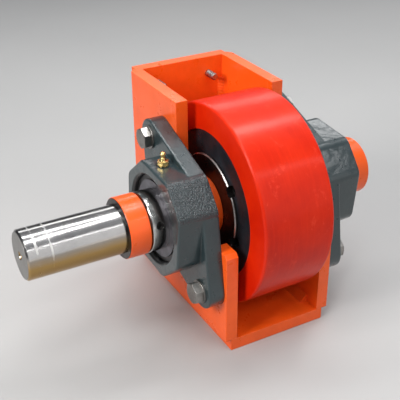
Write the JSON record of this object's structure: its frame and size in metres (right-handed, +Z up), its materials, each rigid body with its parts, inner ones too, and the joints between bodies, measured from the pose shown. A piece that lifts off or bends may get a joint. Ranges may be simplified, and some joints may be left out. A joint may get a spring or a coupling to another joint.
{
  "type": "bracket mounted drive wheel unit",
  "caption": "Tyred friction drive wheel on a through shaft, carried by flange bearing units in an open welded steel bracket, with a plain journal for a hollow-shaft drive.",
  "frame": {"origin": "on the shaft axis at mid width of the wheel", "axes": "+X along the shaft away from the drive journal, +Y towards the back plate, +Z up, the open front faces -Y"},
  "size_m": [0.581, 0.416, 0.36],
  "materials": {
    "bracket_paint": "gloss",
    "weld_paint": "gloss",
    "housing_paint": "gloss",
    "collar_paint": "gloss",
    "spacer_paint": "satin",
    "zinc_plate": "satin",
    "stud_steel": "satin",
    "nipple_brass": "satin",
    "black_oxide": "satin",
    "shaft_steel": "ground",
    "key_steel": "drawn",
    "bearing_steel": "ground",
    "ball_steel": "polished",
    "cage_steel": "pressed",
    "flinger_steel": "pressed",
    "seal_rubber": "matte",
    "bush_steel": "oiled black oxide",
    "hub_steel": "machined, dark",
    "tyre_pu": "semi-gloss polyurethane"
  },
  "bodies": {
    "bracket": {"back_plate": "bracket_paint", "base_plate": "bracket_paint", "bearing_housing_drive": "housing_paint", "bearing_housing_idle": "housing_paint", "bearing_seals_drive": "seal_rubber", "bearing_seals_idle": "seal_rubber", "flange_bolts": "zinc_plate", "flange_washers": "zinc_plate", "grease_nipples": "nipple_brass", "mounting_studs": "stud_steel", "outer_ring_drive": "bearing_steel", "outer_ring_idle": "bearing_steel", "side_plate_drive": "bracket_paint", "side_plate_idle": "bracket_paint", "weld_beads": "weld_paint"},
    "wheel": {"shaft": "shaft_steel", "wheel_key": "key_steel", "taper_bush": "bush_steel", "bush_screws": "black_oxide", "wheel_hub": "hub_steel", "tyre": "tyre_pu", "collar_drive": "collar_paint", "collar_idle": "collar_paint", "collar_screws": "black_oxide", "spacer_drive": "spacer_paint", "spacer_idle": "spacer_paint", "inner_ring_drive": "bearing_steel", "inner_ring_idle": "bearing_steel", "inner_ring_screws": "black_oxide", "bearing_flingers_drive": "flinger_steel", "bearing_flingers_idle": "flinger_steel"},
    "cage_drive": {"ball_set_drive": "ball_steel", "ball_cage_drive": "cage_steel"},
    "cage_idle": {"ball_set_idle": "ball_steel", "ball_cage_idle": "cage_steel"}
  },
  "joints": [
    {"name": "wheel_spin", "type": "hinge", "parent": "bracket", "child": "wheel", "pos_m": [0, 0, 0], "axis": [1, 0, 0], "continuous": true},
    {"name": "cage_spin_drive", "type": "hinge", "parent": "bracket", "child": "cage_drive", "pos_m": [-0.134, 0, 0], "axis": [1, 0, 0], "continuous": true},
    {"name": "cage_spin_idle", "type": "hinge", "parent": "bracket", "child": "cage_idle", "pos_m": [0.134, 0, 0], "axis": [1, 0, 0], "continuous": true}
  ],
  "couplings": [
    {"joint": "cage_spin_drive", "follows": "wheel_spin", "ratio": 0.40367},
    {"joint": "cage_spin_idle", "follows": "wheel_spin", "ratio": 0.40367}
  ]
}
